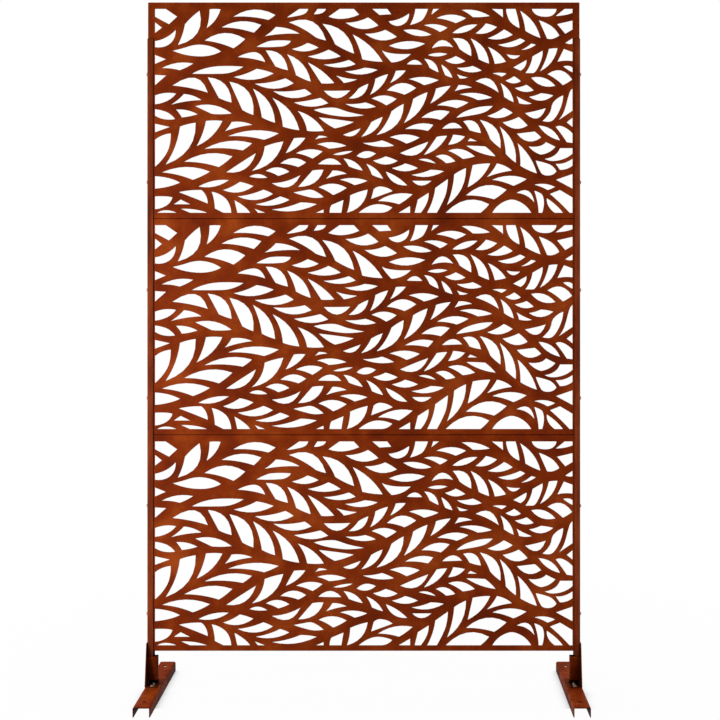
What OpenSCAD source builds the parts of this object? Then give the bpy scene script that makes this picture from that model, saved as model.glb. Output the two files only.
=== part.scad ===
// Laser cut metal screen: three leaf-cut sheet panels between two channel posts on two feet.
// Millimetres. X runs across the screen, Y from front to back, Z up from the floor.
// The origin is on the floor, midway between the feet.

/* [Screen] */
// Width over the outer faces of the posts
screen_w = 1216; // [900:1:1600]
// Height of one panel
panel_h = 607; // [530:1:800]
// Gap between stacked panels
panel_gap = 0.5; // [0.2:0.1:6]
// Clear height from the floor to the lowest panel
ground_gap = 122; // [115:1:250]

/* [Panel sheet] */
// Thickness of the cut sheet
sheet_t = 1.2; // [0.8:0.1:2.5]
// Solid border left and right of the cut pattern
border_side = 20; // [18:0.5:60]
// Solid border above the cut pattern
border_top = 18.5; // [6:0.5:60]
// Solid border below the cut pattern
border_bottom = 16; // [6:0.5:60]

/* [Posts] */
// Depth of the post channel, front to back
post_d = 30; // [24:0.5:50]
// Width of the post flanges that show in front
post_lip = 16.5; // [12:0.5:17.5]
// Thickness of the post sheet
post_t = 1.5; // [1:0.1:3]
// How far the post top stays below the panel top
post_drop = 102; // [0:1:180]
// Height of the joint between the post sections, above the middle panel's lower bolts
splice_above = 161; // [60:1:180]

/* [Feet] */
// Length of a foot, front to back
foot_l = 400; // [250:1:700]
// Width of a foot
foot_w = 46.5; // [40:0.5:80]
// How far the foot stands out beyond the outer side of the bracket
foot_edge = 1; // [0:0.5:4]
// Height of a foot
foot_h = 27.5; // [20:0.5:34]
// Thickness of the foot sheet
foot_t = 2.5; // [1.5:0.1:4]
// Diameter of the ground anchor holes
anchor_d = 11; // [6:0.5:16]
// Distance of each anchor hole from the end of the foot
anchor_inset = 43; // [20:1:80]

/* [Post brackets] */
// Thickness of the bracket sheet
bracket_t = 2; // [1.5:0.1:3]
// Overall width of the bracket, side to side
bracket_w = 32; // [26:0.5:34]
// Depth of the upright that closes round the front flange of the post
upright_d = 19; // [10:0.5:20]
// Gap between the top of the upright and the lowest panel
upright_clear = 14.5; // [4:0.5:22]
// Height of the outer gusset above the foot
gusset_h = 117; // [80:1:160]
// How far the gusset stands ahead of the post at its top
gusset_top = 3; // [2.5:0.5:20]

/* [Fasteners] */
// Thread diameter of the panel bolts and the post bolts
panel_bolt_d = 5; // [4:0.5:6]
// Height of the lower bolt above the panel's lower edge
panel_bolt_z = 102; // [40:1:180]
// Distance between the two bolts of one panel edge
panel_bolt_pitch = 304; // [200:1:360]
// Height of the lower end of the post and of the upright above the foot
post_lift = 14.5; // [12:0.5:20]
// Height of the lower post bolt above the lower end of the post
post_bolt_z = 10; // [8:0.5:16]
// Distance between the two post bolts of one bracket
post_bolt_pitch = 35; // [15:0.5:40]
// Thread diameter of the foot bolts
foot_bolt_d = 5; // [5:0.5:8]
// Distance of the foot bolts from the outer side of the bracket
foot_bolt_inset = 20; // [14:0.5:20]
// Distance of the rear foot bolt ahead of the middle of the post
foot_bolt_ahead = 15; // [11:0.5:20]
// Distance between the two foot bolts of one bracket
foot_bolt_pitch = 18; // [17:0.5:40]
// Margin between the front washer and the front edge of the bracket
washer_margin = 3; // [1:0.5:20]

/* [Fit] */
// Clearance between sheet parts that slide together
fit = 0.3; // [0.1:0.05:0.6]
// Clearance of a bolt in its hole, on the diameter
hole_play = 0.5; // [0.2:0.1:1]

/* [Hidden] */
$fn = 48;

// post faces, measured from the middle of the screen
post_out = screen_w / 2;
post_in = post_out - post_t;
post_back = post_d / 2;
// panel that slides into the post channel
panel_w = 2 * (post_in - fit);
panel_d = post_d - 2 * (post_t + fit);
flange_in = panel_w / 2 - sheet_t;
screen_top = ground_gap + 3 * panel_h + 2 * panel_gap;
post_top = screen_top - post_drop;
post_foot = foot_h + post_lift;
// height at which the lower and the upper section of a post meet
splice_z = ground_gap + panel_h + panel_gap + panel_bolt_z + splice_above;
// the gusset of the bracket stands just outside the post
side_out = post_out + fit + bracket_t;
bracket_in = side_out - bracket_w;
foot_x = side_out + foot_edge - foot_w / 2;
// the front of the upright stands just ahead of the front flange of the post
upright_front = -post_back - fit - bracket_t;
upright_back = upright_front + upright_d;
upright_top = ground_gap - upright_clear;
// the post bolts pass midway between the upright and the back flange of the post
post_bolt_y = (upright_back + post_back - post_t) / 2;
washer_d = 2 * foot_bolt_d;
foot_bolt_x = side_out - foot_bolt_inset;
foot_bolt_ys = [-foot_bolt_ahead, -foot_bolt_ahead - foot_bolt_pitch];
bracket_front = foot_bolt_ys[1] - washer_d / 2 - washer_margin;
anchor_y = foot_l / 2 - anchor_inset;
// bolt proportions follow the thread diameter
function head_d(d) = 1.8 * d;
function head_h(d) = 0.8 * d;
function nut_h(d) = 0.8 * d;
function key_d(d) = 0.7 * d / cos(30);
// hex across corners from the width across flats
function hex_d(d) = 1.65 * d / cos(30);

panel_color = "#8a3a16";
zinc_color = "#b9bcbe";

// ---- leaf pattern -------------------------------------------------------------
// The pattern is drawn on a sheet 1172 by 575 whose lower left corner is at (20, 14),
// and stretched to the window inside the borders of the panel.
draw_x = 20;
draw_z = 14;
draw_w = 1172;
draw_h = 575;
function at(p) = [
  border_side + (p[0] - draw_x) * (panel_w - 2 * border_side) / draw_w,
  border_bottom + (p[1] - draw_z) * (panel_h - border_top - border_bottom) / draw_h
];

// steps along a curved side
side_steps = 6;
// A smooth side from a to b that passes through v
function side(a, v, b) =
  let (
    u = norm(v - a) / (norm(v - a) + norm(b - v)),
    c = (v - (1 - u) * (1 - u) * a - u * u * b) / (2 * u * (1 - u))
  )
  [for (i = [0 : side_steps - 1])
    let (t = i / side_steps)
    (1 - t) * (1 - t) * a + 2 * t * (1 - t) * c + t * t * b];

// Point beside the middle of a-b, bowed away from c by the given share of its length
function bowed(a, b, c, share) =
  let (
    d = b - a,
    m = (a + b) / 2,
    n = [-d[1], d[0]],
    s = n * (c - m) > 0 ? -1 : 1
  )
  m + s * share * n;

// How far the straighter sides of a leaf bow, as a share of their length
back_bow = 0.04;
tip_bow = 0.03;
// Share for the sides of the short leaves that end a spray
end_belly_bow = -0.03;
end_tip_bow = 0.07;
// A leaf runs from its root by the corner to the tip, and back along the belly.
function leaf_outline(r, c, t, v, back, end) = concat(
  side(r, bowed(r, c, t, -back), c),
  side(c, bowed(c, t, r, end), t),
  side(t, v, r)
);
// Leaf row: root, corner and tip, then a point on the belly unless the leaf ends a spray,
// then the bow of the side from root to corner if it is not the usual one.
module leaf(q) {
  r = [q[0], q[1]];
  c = [q[2], q[3]];
  t = [q[4], q[5]];
  v = len(q) > 6 ? [q[6], q[7]] : bowed(t, r, c, end_belly_bow);
  back = len(q) > 8 ? q[8] : back_bow;
  end = len(q) > 6 ? tip_bow : end_tip_bow;
  polygon([for (p = leaf_outline(r, c, t, v, back, end)) at(p)]);
}

// lens row: one end, a point on the upper side, the other end, a point on the lower side
module lens(q) {
  a = [q[0], q[1]];
  u = [q[2], q[3]];
  b = [q[4], q[5]];
  v = [q[6], q[7]];
  polygon([for (p = concat(side(a, u, b), side(b, v, a))) at(p)]);
}

// Openings given point by point get smooth sides between their corners. A point is a
// corner where the outline turns by more than this angle, and where it meets the border.
corner_turn = 40;
// steps along the side between two points
point_steps = 3;
function on_border(p) =
  p[0] <= draw_x || p[0] >= draw_x + draw_w || p[1] <= draw_z || p[1] >= draw_z + draw_h;
function is_corner(a, b, c) =
  on_border(b) || (b - a) * (c - b) < cos(corner_turn) * norm(b - a) * norm(c - b);
function unit(v) = v / norm(v);
// direction d mirrored about the chord, which bends a side evenly from end to end
function even(d, chord) = 2 * (d * chord) * chord - d;
// Stretch of the outline from b towards c, between the points a and d
function stretch(a, b, c, d) =
  let (
    chord = unit(c - b),
    sharp_b = is_corner(a, b, c),
    sharp_c = is_corner(b, c, d),
    go_b = sharp_b ? (sharp_c ? chord : even(unit(d - b), chord)) : unit(c - a),
    go_c = sharp_c ? (sharp_b ? chord : even(unit(c - a), chord)) : unit(d - b),
    l = norm(c - b)
  )
  [for (i = [0 : sharp_b && sharp_c ? 0 : point_steps - 1])
    let (t = i / point_steps)
    (1 - t) * (1 - t) * (1 + 2 * t) * b + t * t * (3 - 2 * t) * c
    + l * t * (1 - t) * ((1 - t) * go_b - t * go_c)];
module opening(points) {
  n = len(points);
  polygon([for (i = [0 : n - 1], p = stretch(
    points[(i + n - 1) % n], points[i], points[(i + 1) % n], points[(i + 2) % n]
  )) at(p)]);
}

// sprays along the top, from left to right
top_leaves = [
  [84, 487, 104, 546, 145, 584, 141, 525],
  [165, 535, 173, 588, 204, 588, 190, 559],
  [159, 500, 240, 478, 273, 504, 218, 521],
  [207, 537, 297, 522, 318, 544, 245, 552],
  [240, 567, 338, 558, 358, 572, 295, 587],
  [328, 512, 359, 538, 426, 519],
  [396, 551, 471, 509, 500, 500, 462, 553],
  [490, 547, 526, 489, 579, 463, 546, 526],
  [575, 517, 602, 447, 659, 440, 617, 490],
  [555, 550, 618, 565, 647, 542, 605, 532, 0.06],
  [609, 519, 666, 530, 699, 510, 663, 500, 0.06],
  [775, 543, 820, 524, 841, 536, 803, 546],
  [810, 563, 864, 549, 893, 563, 850, 573],
  [881, 586, 912, 566, 960, 569, 913, 586],
  [1045, 584, 1060, 527, 1102, 507, 1084, 548],
];
// second spray from the top left
second_leaves = [
  [331, 472, 358, 427, 393, 416, 368, 463, 0],
  [391, 461, 416, 402, 457, 384, 434, 433],
  [449, 438, 487, 379, 523, 380, 492, 411, 0],
  [528, 401, 550, 380, 587, 390, 550, 395],
  [404, 476, 448, 493, 479, 480, 437, 469],
  [449, 455, 507, 474, 541, 455, 500, 447],
  [493, 432, 564, 445, 583, 433, 547, 424],
  [553, 413, 608, 423, 645, 417, 595, 404],
  [39, 422, 89, 416, 127, 435, 85, 437],
];
// long spray down the middle of the left half
middle_left_leaves = [
  [241, 397, 305, 420, 353, 407, 290, 389],
  [300, 378, 386, 393, 409, 379, 360, 364],
  [352, 357, 440, 363, 459, 349, 400, 338],
  [410, 325, 484, 338, 506, 323, 447, 314, 0.02],
  [480, 283, 525, 252, 578, 270, 530, 277, -0.04],
  [168, 396, 199, 338, 235, 325, 212, 380, 0],
  [229, 384, 265, 304, 296, 290, 277, 361, 0],
  [295, 364, 320, 283, 357, 268, 335, 332],
  [350, 338, 379, 257, 425, 247, 398, 302, 0.07],
  [421, 301, 447, 245, 494, 245, 463, 280, 0.07],
  [65, 319, 101, 349, 150, 332],
  [133, 315, 179, 293, 235, 294, 180, 318, 0],
  [79, 305, 95, 283, 139, 292, 110, 303],
];
// large spray at the lower left
lower_left_leaves = [
  [50, 150, 90, 257, 134, 268, 123, 210, 0.06],
  [137, 202, 163, 273, 209, 273, 182, 233],
  [216, 244, 235, 270, 293, 262],
  [40, 128, 126, 107, 174, 130, 105, 143],
  [102, 158, 199, 143, 237, 173, 190, 182],
  [159, 194, 266, 190, 292, 210, 237, 217],
  [225, 230, 326, 220, 367, 238, 290, 246],
  [292, 132, 328, 201, 380, 215, 350, 161, 0.1],
  [387, 182, 410, 224, 442, 225, 418, 199, 0],
  [469, 221, 479, 231, 504, 227],
  [331, 132, 366, 118, 397, 130, 360, 142],
  [372, 153, 422, 143, 444, 156, 405, 168],
  [416, 182, 462, 167, 490, 187, 458, 193],
  [475, 207, 508, 195, 557, 203, 513, 213],
  [211, 78, 258, 101, 296, 89, 250, 71],
  [252, 60, 324, 79, 351, 67, 303, 50],
  [302, 38, 371, 60, 397, 50, 342, 34],
  [348, 23, 428, 43, 474, 38, 400, 18],
];
// two sprays through the middle
middle_leaves = [
  [776, 448, 791, 423, 816, 410, 798, 442],
  [834, 444, 864, 456, 891, 441, 863, 434],
  [867, 423, 912, 428, 937, 415, 905, 410],
  [824, 432, 835, 402, 855, 395, 845, 414, -0.03],
  [867, 405, 875, 393, 898, 396],
  [564, 336, 591, 364, 619, 378, 602, 346],
  [624, 347, 639, 392, 674, 405, 660, 377],
  [680, 380, 696, 414, 724, 415, 702, 393],
  [554, 321, 610, 325, 640, 313, 610, 308],
  [628, 336, 669, 317, 698, 335, 663, 345],
  [671, 359, 720, 347, 753, 366, 716, 380],
  [733, 391, 775, 374, 816, 388, 768, 397],
  [599, 228, 627, 269, 659, 284, 642, 252],
  [642, 233, 684, 300, 718, 321, 708, 277, 0.06],
  [719, 267, 745, 335, 785, 354, 768, 310],
  [793, 322, 809, 364, 850, 372, 829, 348],
  [861, 357, 872, 374, 910, 367],
  [603, 211, 657, 218, 691, 203, 650, 200],
  [679, 227, 726, 209, 763, 226, 721, 235],
  [722, 250, 786, 245, 801, 262, 768, 266],
  [768, 282, 822, 276, 847, 299, 815, 303],
  [812, 317, 867, 309, 900, 325, 858, 332],
  [875, 348, 926, 332, 966, 339, 916, 352],
];
// sprays low in the middle
lower_middle_leaves = [
  [632, 161, 667, 173, 701, 160, 668, 150],
  [685, 140, 722, 153, 758, 140, 724, 131],
  [740, 121, 793, 135, 831, 131, 771, 115],
  [549, 167, 564, 145, 603, 133, 584, 155],
  [613, 152, 629, 121, 660, 110, 644, 133],
  [775, 177, 811, 228, 840, 231, 800, 188, 0.01],
  [843, 206, 857, 234, 890, 229, 873, 214],
  [808, 173, 837, 154, 863, 159, 826, 178],
  [843, 189, 884, 166, 918, 173, 863, 194],
  [894, 203, 947, 201, 976, 173, 942, 180, -0.01],
  [422, 87, 462, 133, 493, 135, 476, 106, 0],
  [500, 110, 518, 133, 558, 124],
  [539, 107, 580, 92, 616, 104, 574, 112],
  [479, 86, 520, 64, 558, 84, 518, 96],
  [559, 14, 568, 63, 617, 79, 598, 36],
  [646, 47, 705, 38, 743, 66, 700, 68],
];
// spray at the lower right
lower_right_leaves = [
  [840, 36, 860, 122, 893, 140, 884, 90],
  [898, 86, 912, 148, 961, 153, 932, 110, 0],
  [952, 115, 980, 153, 1022, 133],
  [836, 14, 934, 14, 958, 38, 914, 51, 0],
  [893, 63, 972, 52, 1007, 79, 963, 92],
  [967, 107, 1026, 90, 1063, 109, 1024, 118],
  [1085, 93, 1122, 78, 1143, 87, 1116, 95],
  [1036, 237, 1086, 243, 1104, 226, 1071, 215, 0],
  [996, 269, 1041, 284, 1066, 260, 1041, 251],
  [953, 287, 999, 310, 1024, 296, 984, 281],
  [885, 272, 903, 247, 935, 239, 915, 272],
  [932, 276, 961, 222, 990, 196, 975, 254],
  [988, 257, 1005, 180, 1033, 155, 1021, 219],
  [1038, 210, 1046, 146, 1092, 125, 1063, 184],
];
// sprays at the upper right
upper_right_leaves = [
  [920, 520, 949, 548, 980, 538, 947, 520],
  [954, 506, 1000, 531, 1024, 516, 984, 503],
  [983, 488, 1045, 506, 1059, 499, 1013, 481],
  [1048, 473, 1076, 491, 1089, 488, 1074, 479],
  [856, 506, 875, 476, 908, 456, 894, 499],
  [906, 506, 929, 447, 958, 435, 940, 482],
  [955, 482, 974, 434, 1005, 440, 990, 459],
  [1101, 413, 1126, 476, 1150, 478, 1132, 438],
  [1122, 405, 1165, 374, 1191, 390, 1155, 416],
  [1004, 387, 1028, 399, 1047, 385, 1029, 379],
  [1030, 366, 1063, 375, 1083, 359, 1058, 355],
  [1070, 341, 1103, 351, 1138, 345, 1103, 330],
  [1035, 343, 1042, 323, 1078, 322],
  [990, 380, 1000, 341, 1027, 326, 1016, 356],
  [967, 407, 993, 398, 1007, 407, 990, 409],
];
// end leaves with two bowed sides
lenses = [
  [69, 373, 145, 389, 168, 353, 118, 366],
  [220, 128, 262, 156, 303, 182, 270, 136],
  [285, 116, 305, 123, 335, 113, 310, 112],
  [142, 88, 190, 105, 227, 106, 195, 90],
  [348, 97, 384, 102, 428, 120, 396, 87],
  [677, 485, 728, 498, 778, 491, 734, 476],
  [717, 529, 757, 530, 796, 516, 750, 514],
  [786, 459, 815, 465, 841, 462, 815, 455],
  [797, 478, 826, 501, 857, 481, 829, 484],
  [727, 433, 752, 445, 770, 432, 748, 432],
  [494, 358, 531, 358, 568, 359, 529, 337],
  [548, 234, 572, 243, 597, 252, 573, 230],
  [520, 178, 548, 186, 575, 188, 560, 181],
  [586, 174, 608, 187, 640, 181, 610, 168],
  [742, 104, 768, 104, 796, 104, 764, 91],
  [478, 151, 517, 167, 543, 150, 511, 150],
  [668, 130, 702, 113, 728, 91, 690, 100],
  [708, 182, 747, 199, 787, 214, 752, 177],
  [760, 164, 787, 165, 808, 153, 784, 158],
  [1035, 70, 1064, 77, 1085, 43, 1057, 65],
  [826, 251, 863, 267, 882, 253, 855, 252],
  [1059, 295, 1088, 301, 1117, 309, 1092, 280],
  [1097, 260, 1131, 250, 1157, 218, 1121, 234],
  [855, 521, 889, 541, 925, 545, 892, 524],
  [1007, 461, 1027, 458, 1045, 458, 1024, 448],
  [1076, 395, 1110, 395, 1144, 372, 1108, 372],
  [920, 385, 955, 393, 985, 353, 955, 371],
];
// openings with a side too bent or too straight for a leaf or a lens
free_openings = [
  [[676, 554], [706, 561], [733, 576], [731, 562], [722, 549], [703, 541], [686, 545]],
  [[657, 472], [672, 466], [700, 462], [738, 462], [722, 449], [703, 441], [684, 438], [668, 456]],
  [[967, 14], [977, 28], [991, 40], [1007, 48], [1021, 51], [1036, 48], [1052, 40], [1066, 28], [1076, 14]],
  [[252, 453], [275, 463], [300, 467], [315, 461], [324, 450], [329, 439], [295, 448]],
  [[305, 482], [322, 491], [345, 499], [401, 499], [394, 490], [376, 483]],
  [[70, 471], [98, 478], [125, 486], [150, 488], [180, 482], [205, 469], [180, 459], [149, 455], [108, 459]],
  [[866, 282], [885, 297], [910, 307], [935, 313], [968, 315], [950, 300], [930, 293], [903, 288]],
  [[409, 71], [435, 76], [458, 79], [478, 70], [493, 58], [465, 56], [438, 62]],
  [[466, 304], [490, 309], [526, 310], [560, 299], [607, 289], [570, 285], [540, 286], [498, 293]],
  [[124, 406], [150, 418], [184, 426], [225, 428], [268, 426], [248, 415], [225, 408], [200, 406]],
];
// openings that the border trims
edge_openings = [
  // left
  [[20, 589], [50, 589], [82, 567], [59, 546], [20, 567]],
  [[20, 551], [39, 536], [20, 521]],
  [[20, 498], [52, 509], [78, 530], [71, 501], [50, 484], [20, 481]],
  [[20, 459], [50, 447], [20, 434]],
  [[20, 403], [51, 401], [20, 374]],
  [[20, 345], [50, 352], [79, 350], [55, 330], [20, 320]],
  [[20, 306], [50, 299], [66, 289], [76, 278], [45, 278], [20, 288]],
  [[20, 265], [61, 256], [20, 241]],
  [[20, 220], [40, 232], [64, 238], [59, 197], [43, 168], [20, 144]],
  [[20, 117], [60, 111], [90, 99], [58, 88], [20, 82]],
  [[20, 60], [53, 60], [69, 57], [53, 35], [20, 24]],
  // bottom
  [[179, 73], [203, 65], [224, 47], [234, 14], [212, 14], [188, 26], [185, 52]],
  [[243, 49], [271, 31], [287, 14], [251, 14]],
  [[300, 25], [329, 14], [309, 14]],
  [[87, 72], [118, 77], [150, 78], [163, 62], [168, 40], [126, 57]],
  [[73, 38], [92, 51], [118, 38]],
  [[26, 14], [50, 21], [80, 14]],
  [[93, 25], [132, 23], [166, 14], [118, 14]],
  [[472, 14], [493, 23], [493, 14]],
  [[510, 14], [512, 28], [516, 36], [549, 50], [543, 14]],
  [[592, 14], [622, 33], [650, 38], [686, 29], [672, 18], [655, 14]],
  [[627, 53], [634, 80], [643, 86], [653, 88], [672, 84], [687, 75]],
  [[704, 14], [736, 33], [736, 14]],
  [[749, 14], [758, 51], [788, 70], [784, 44], [766, 14]],
  [[784, 14], [799, 48], [807, 84], [842, 109], [840, 85], [834, 60], [811, 14]],
  // top
  [[390, 565], [425, 589], [450, 589], [441, 576], [418, 569]],
  [[466, 574], [476, 589], [500, 589], [490, 578]],
  [[507, 567], [538, 589], [578, 589], [593, 573], [547, 561]],
  [[630, 589], [672, 589], [683, 574], [650, 572]],
  [[736, 544], [746, 566], [751, 589], [786, 589], [779, 571], [768, 556]],
  [[796, 573], [801, 589], [817, 589]],
  [[898, 216], [905, 224], [924, 216]],
  [[966, 589], [996, 588], [997, 565]],
  [[1006, 589], [1032, 589], [1041, 553], [1043, 535], [1018, 552], [1008, 574]],
  [[1078, 589], [1147, 589], [1143, 578], [1131, 569], [1113, 567], [1096, 570], [1084, 578]],
  // right
  [[1145, 569], [1170, 589], [1192, 589], [1192, 578], [1172, 572]],
  [[1098, 557], [1129, 543], [1144, 530], [1155, 514], [1137, 505], [1121, 505]],
  [[1149, 546], [1192, 556], [1192, 531], [1172, 519]],
  [[1172, 493], [1192, 506], [1192, 491], [1183, 490]],
  [[1026, 424], [1063, 445], [1059, 427], [1046, 415]],
  [[1060, 408], [1073, 430], [1080, 455], [1108, 471], [1107, 455], [1100, 434], [1090, 415], [1082, 408]],
  [[1150, 440], [1168, 476], [1192, 467], [1192, 442], [1170, 443]],
  [[1166, 427], [1183, 428], [1192, 423], [1192, 410], [1178, 418]],
  [[1154, 276], [1169, 301], [1184, 353], [1192, 364], [1192, 302]],
  [[1108, 273], [1129, 297], [1138, 325], [1166, 345], [1162, 320], [1151, 294], [1139, 277], [1128, 271]],
  [[1176, 269], [1192, 282], [1192, 256]],
  [[1145, 256], [1158, 259], [1175, 252], [1192, 238], [1192, 211], [1176, 213], [1162, 234]],
  [[1069, 201], [1100, 202], [1118, 213], [1144, 200], [1126, 185], [1103, 178], [1084, 187]],
  [[1114, 166], [1142, 176], [1157, 196], [1192, 196], [1192, 181], [1168, 166], [1137, 160]],
  [[1145, 152], [1168, 154], [1192, 166], [1192, 147], [1176, 138], [1157, 135]],
  [[1089, 161], [1126, 151], [1138, 143], [1147, 131], [1137, 122], [1124, 119], [1111, 121], [1103, 128]],
  [[1146, 107], [1192, 123], [1192, 82]],
  [[1129, 67], [1157, 78], [1192, 57], [1192, 14], [1184, 14], [1159, 40]],
  [[1120, 55], [1146, 35], [1165, 14], [1142, 14], [1124, 34]],
  [[1085, 76], [1100, 70], [1108, 63], [1112, 42], [1107, 14], [1097, 14], [1094, 42]],
];

module pattern() {
  for (q = top_leaves) leaf(q);
  for (q = second_leaves) leaf(q);
  for (q = middle_left_leaves) leaf(q);
  for (q = lower_left_leaves) leaf(q);
  for (q = middle_leaves) leaf(q);
  for (q = lower_middle_leaves) leaf(q);
  for (q = lower_right_leaves) leaf(q);
  for (q = upper_right_leaves) leaf(q);
  for (q = lenses) lens(q);
  for (q = free_openings) opening(q);
  for (q = edge_openings) opening(q);
}

// ---- panels -------------------------------------------------------------------
// heights of the bolts on one panel, above its lower edge
panel_bolt_heights = [panel_bolt_z, panel_bolt_z + panel_bolt_pitch];
// lower edges of the panels, bottom panel first
panel_foots = [for (i = [0 : 2]) ground_gap + i * (panel_h + panel_gap)];

// cylinder along X, centred on the origin
module across(d, l) {
  rotate([0, 90, 0]) cylinder(d = d, h = l, center = true);
}

module panel(foot_z) {
  color(panel_color)
  translate([0, 0, foot_z]) {
    // cut face sheet
    translate([-panel_w / 2, sheet_t - panel_d / 2, 0])
    rotate([90, 0, 0])
    linear_extrude(sheet_t)
    difference() {
      square([panel_w, panel_h]);
      pattern();
    }
    // edges folded back
    difference() {
      translate([-panel_w / 2, sheet_t - panel_d / 2, 0])
      cube([panel_w, panel_d - sheet_t, panel_h]);
      translate([-flange_in, -panel_d / 2, sheet_t])
      cube([2 * flange_in, panel_d + 1, panel_h - 2 * sheet_t]);
      for (z = panel_bolt_heights)
        translate([0, 0, z]) across(panel_bolt_d + hole_play, panel_w + 2);
    }
  }
}

module panel_bottom() { panel(panel_foots[0]); }
module panel_middle() { panel(panel_foots[1]); }
module panel_top() { panel(panel_foots[2]); }

// ---- posts --------------------------------------------------------------------
// One section of the right post, a channel open towards the screen
module post_section(z0, z1) {
  color(panel_color)
  difference() {
    translate([post_out - post_lip, -post_back, z0])
    cube([post_lip, post_d, z1 - z0]);
    translate([post_out - post_lip - 1, post_t - post_back, z0 - 1])
    cube([post_lip + 1 - post_t, post_d - 2 * post_t, z1 - z0 + 2]);
    // holes for the panel bolts that fall on this section
    for (f = panel_foots, z = panel_bolt_heights)
      if (f + z > z0 && f + z < z1)
        translate([post_out, 0, f + z]) across(panel_bolt_d + hole_play, 4 * post_t);
    post_bolt_places() across(panel_bolt_d + hole_play, 4 * (bracket_t + fit + post_t));
  }
}

module post_upper() { post_section(splice_z, post_top); }
module post_lower() { post_section(post_foot, splice_z); }
module post_right_upper() { post_upper(); }
module post_right_lower() { post_lower(); }
module post_left_upper() { mirror([1, 0, 0]) post_upper(); }
module post_left_lower() { mirror([1, 0, 0]) post_lower(); }

// ---- feet and brackets ----------------------------------------------------------
// where the heads of the post bolts lie on the gusset
module post_bolt_places() {
  for (i = [0, 1])
    translate([side_out, post_bolt_y, post_foot + post_bolt_z + i * post_bolt_pitch])
    children();
}

// where the washers of the foot bolts lie on the bracket
module foot_bolt_places() {
  for (y = foot_bolt_ys)
    translate([foot_bolt_x, y, foot_h + bracket_t])
    children();
}

// hole through the bracket and the top of the foot
module foot_bolt_holes() {
  foot_bolt_places()
  cylinder(d = foot_bolt_d + hole_play, h = 4 * (bracket_t + foot_t), center = true);
}

module foot() {
  color(panel_color)
  translate([foot_x, 0, 0])
  difference() {
    translate([-foot_w / 2, -foot_l / 2, 0])
    cube([foot_w, foot_l, foot_h]);
    translate([-foot_w / 2 + foot_t, -foot_l / 2 - 1, -1])
    cube([foot_w - 2 * foot_t, foot_l + 2, foot_h - foot_t + 1]);
    for (y = [-anchor_y, anchor_y])
      translate([0, y, foot_h]) cylinder(d = anchor_d, h = 4 * foot_t, center = true);
    translate([-foot_x, 0, 0]) foot_bolt_holes();
  }
}

module bracket() {
  color(panel_color)
  difference() {
    union() {
      // base
      translate([bracket_in, bracket_front, foot_h])
      cube([bracket_w, post_back - bracket_front, bracket_t]);
      // outer gusset, drawn in the YZ plane
      translate([side_out - bracket_t, 0, foot_h])
      rotate([90, 0, 90])
      linear_extrude(bracket_t)
      polygon([
        [post_back, 0],
        [post_back, gusset_h],
        [-post_back - gusset_top, gusset_h],
        [bracket_front, bracket_t],
        [bracket_front, 0]
      ]);
      // upright, a channel with its front on the gusset and its back on the base
      translate([bracket_in, upright_front, post_foot])
      cube([side_out - bracket_t / 2 - bracket_in, bracket_t, upright_top - post_foot]);
      translate([bracket_in, upright_front, post_foot])
      cube([bracket_t, upright_d, upright_top - post_foot]);
      translate([bracket_in, upright_back - bracket_t, foot_h])
      cube([post_in - fit - bracket_in, bracket_t, upright_top - foot_h]);
    }
    foot_bolt_holes();
    post_bolt_places() across(panel_bolt_d + hole_play, 4 * bracket_t);
  }
}

module foot_right() { foot(); }
module foot_left() { mirror([1, 0, 0]) foot(); }
module bracket_right() { bracket(); }
module bracket_left() { mirror([1, 0, 0]) bracket(); }

// ---- fasteners ------------------------------------------------------------------
// Socket head bolt standing along Z: head above the origin, shank below
module bolt(d, l) {
  difference() {
    cylinder(d = head_d(d), h = head_h(d));
    translate([0, 0, head_h(d) / 2]) cylinder(d = key_d(d), h = head_h(d), $fn = 6);
  }
  translate([0, 0, -l]) cylinder(d = d, h = l);
}

module nut(d) {
  difference() {
    cylinder(d = hex_d(d), h = nut_h(d), $fn = 6);
    translate([0, 0, -1]) cylinder(d = d + 0.02, h = nut_h(d) + 2);
  }
}

// shank from the outer face of the post to just past the nut
panel_bolt_l = post_out - flange_in + nut_h(panel_bolt_d) + 2;

module panel_bolts() {
  color(zinc_color)
  for (f = panel_foots, z = panel_bolt_heights)
    translate([post_out, 0, f + z])
    rotate([0, 90, 0])
    bolt(panel_bolt_d, panel_bolt_l);
}

module panel_nuts() {
  color(zinc_color)
  for (f = panel_foots, z = panel_bolt_heights)
    translate([flange_in, 0, f + z])
    rotate([0, -90, 0])
    nut(panel_bolt_d);
}

module panel_bolts_right() { panel_bolts(); }
module panel_bolts_left() { mirror([1, 0, 0]) panel_bolts(); }
module panel_nuts_right() { panel_nuts(); }
module panel_nuts_left() { mirror([1, 0, 0]) panel_nuts(); }

module both_sides() {
  children();
  mirror([1, 0, 0]) children();
}

// bolts through the gusset and the web of the post
post_bolt_l = bracket_t + fit + post_t + nut_h(panel_bolt_d) + 2;
module post_bolts() {
  color(zinc_color)
  both_sides()
  post_bolt_places()
  rotate([0, 90, 0])
  bolt(panel_bolt_d, post_bolt_l);
}

module post_nuts() {
  color(zinc_color)
  both_sides()
  post_bolt_places()
  translate([-bracket_t - fit - post_t, 0, 0])
  rotate([0, -90, 0])
  nut(panel_bolt_d);
}

washer_t = 1.2;
module foot_washers() {
  color(zinc_color)
  both_sides()
  foot_bolt_places()
  difference() {
    cylinder(d = washer_d, h = washer_t);
    translate([0, 0, -1]) cylinder(d = foot_bolt_d + hole_play, h = washer_t + 2);
  }
}

// hex bolts from above
foot_bolt_l = washer_t + bracket_t + foot_t + nut_h(foot_bolt_d) + 2;
module foot_bolts() {
  color(zinc_color)
  both_sides()
  foot_bolt_places()
  translate([0, 0, washer_t]) {
    cylinder(d = hex_d(foot_bolt_d), h = 0.65 * foot_bolt_d, $fn = 6);
    translate([0, 0, -foot_bolt_l]) cylinder(d = foot_bolt_d, h = foot_bolt_l);
  }
}

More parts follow.
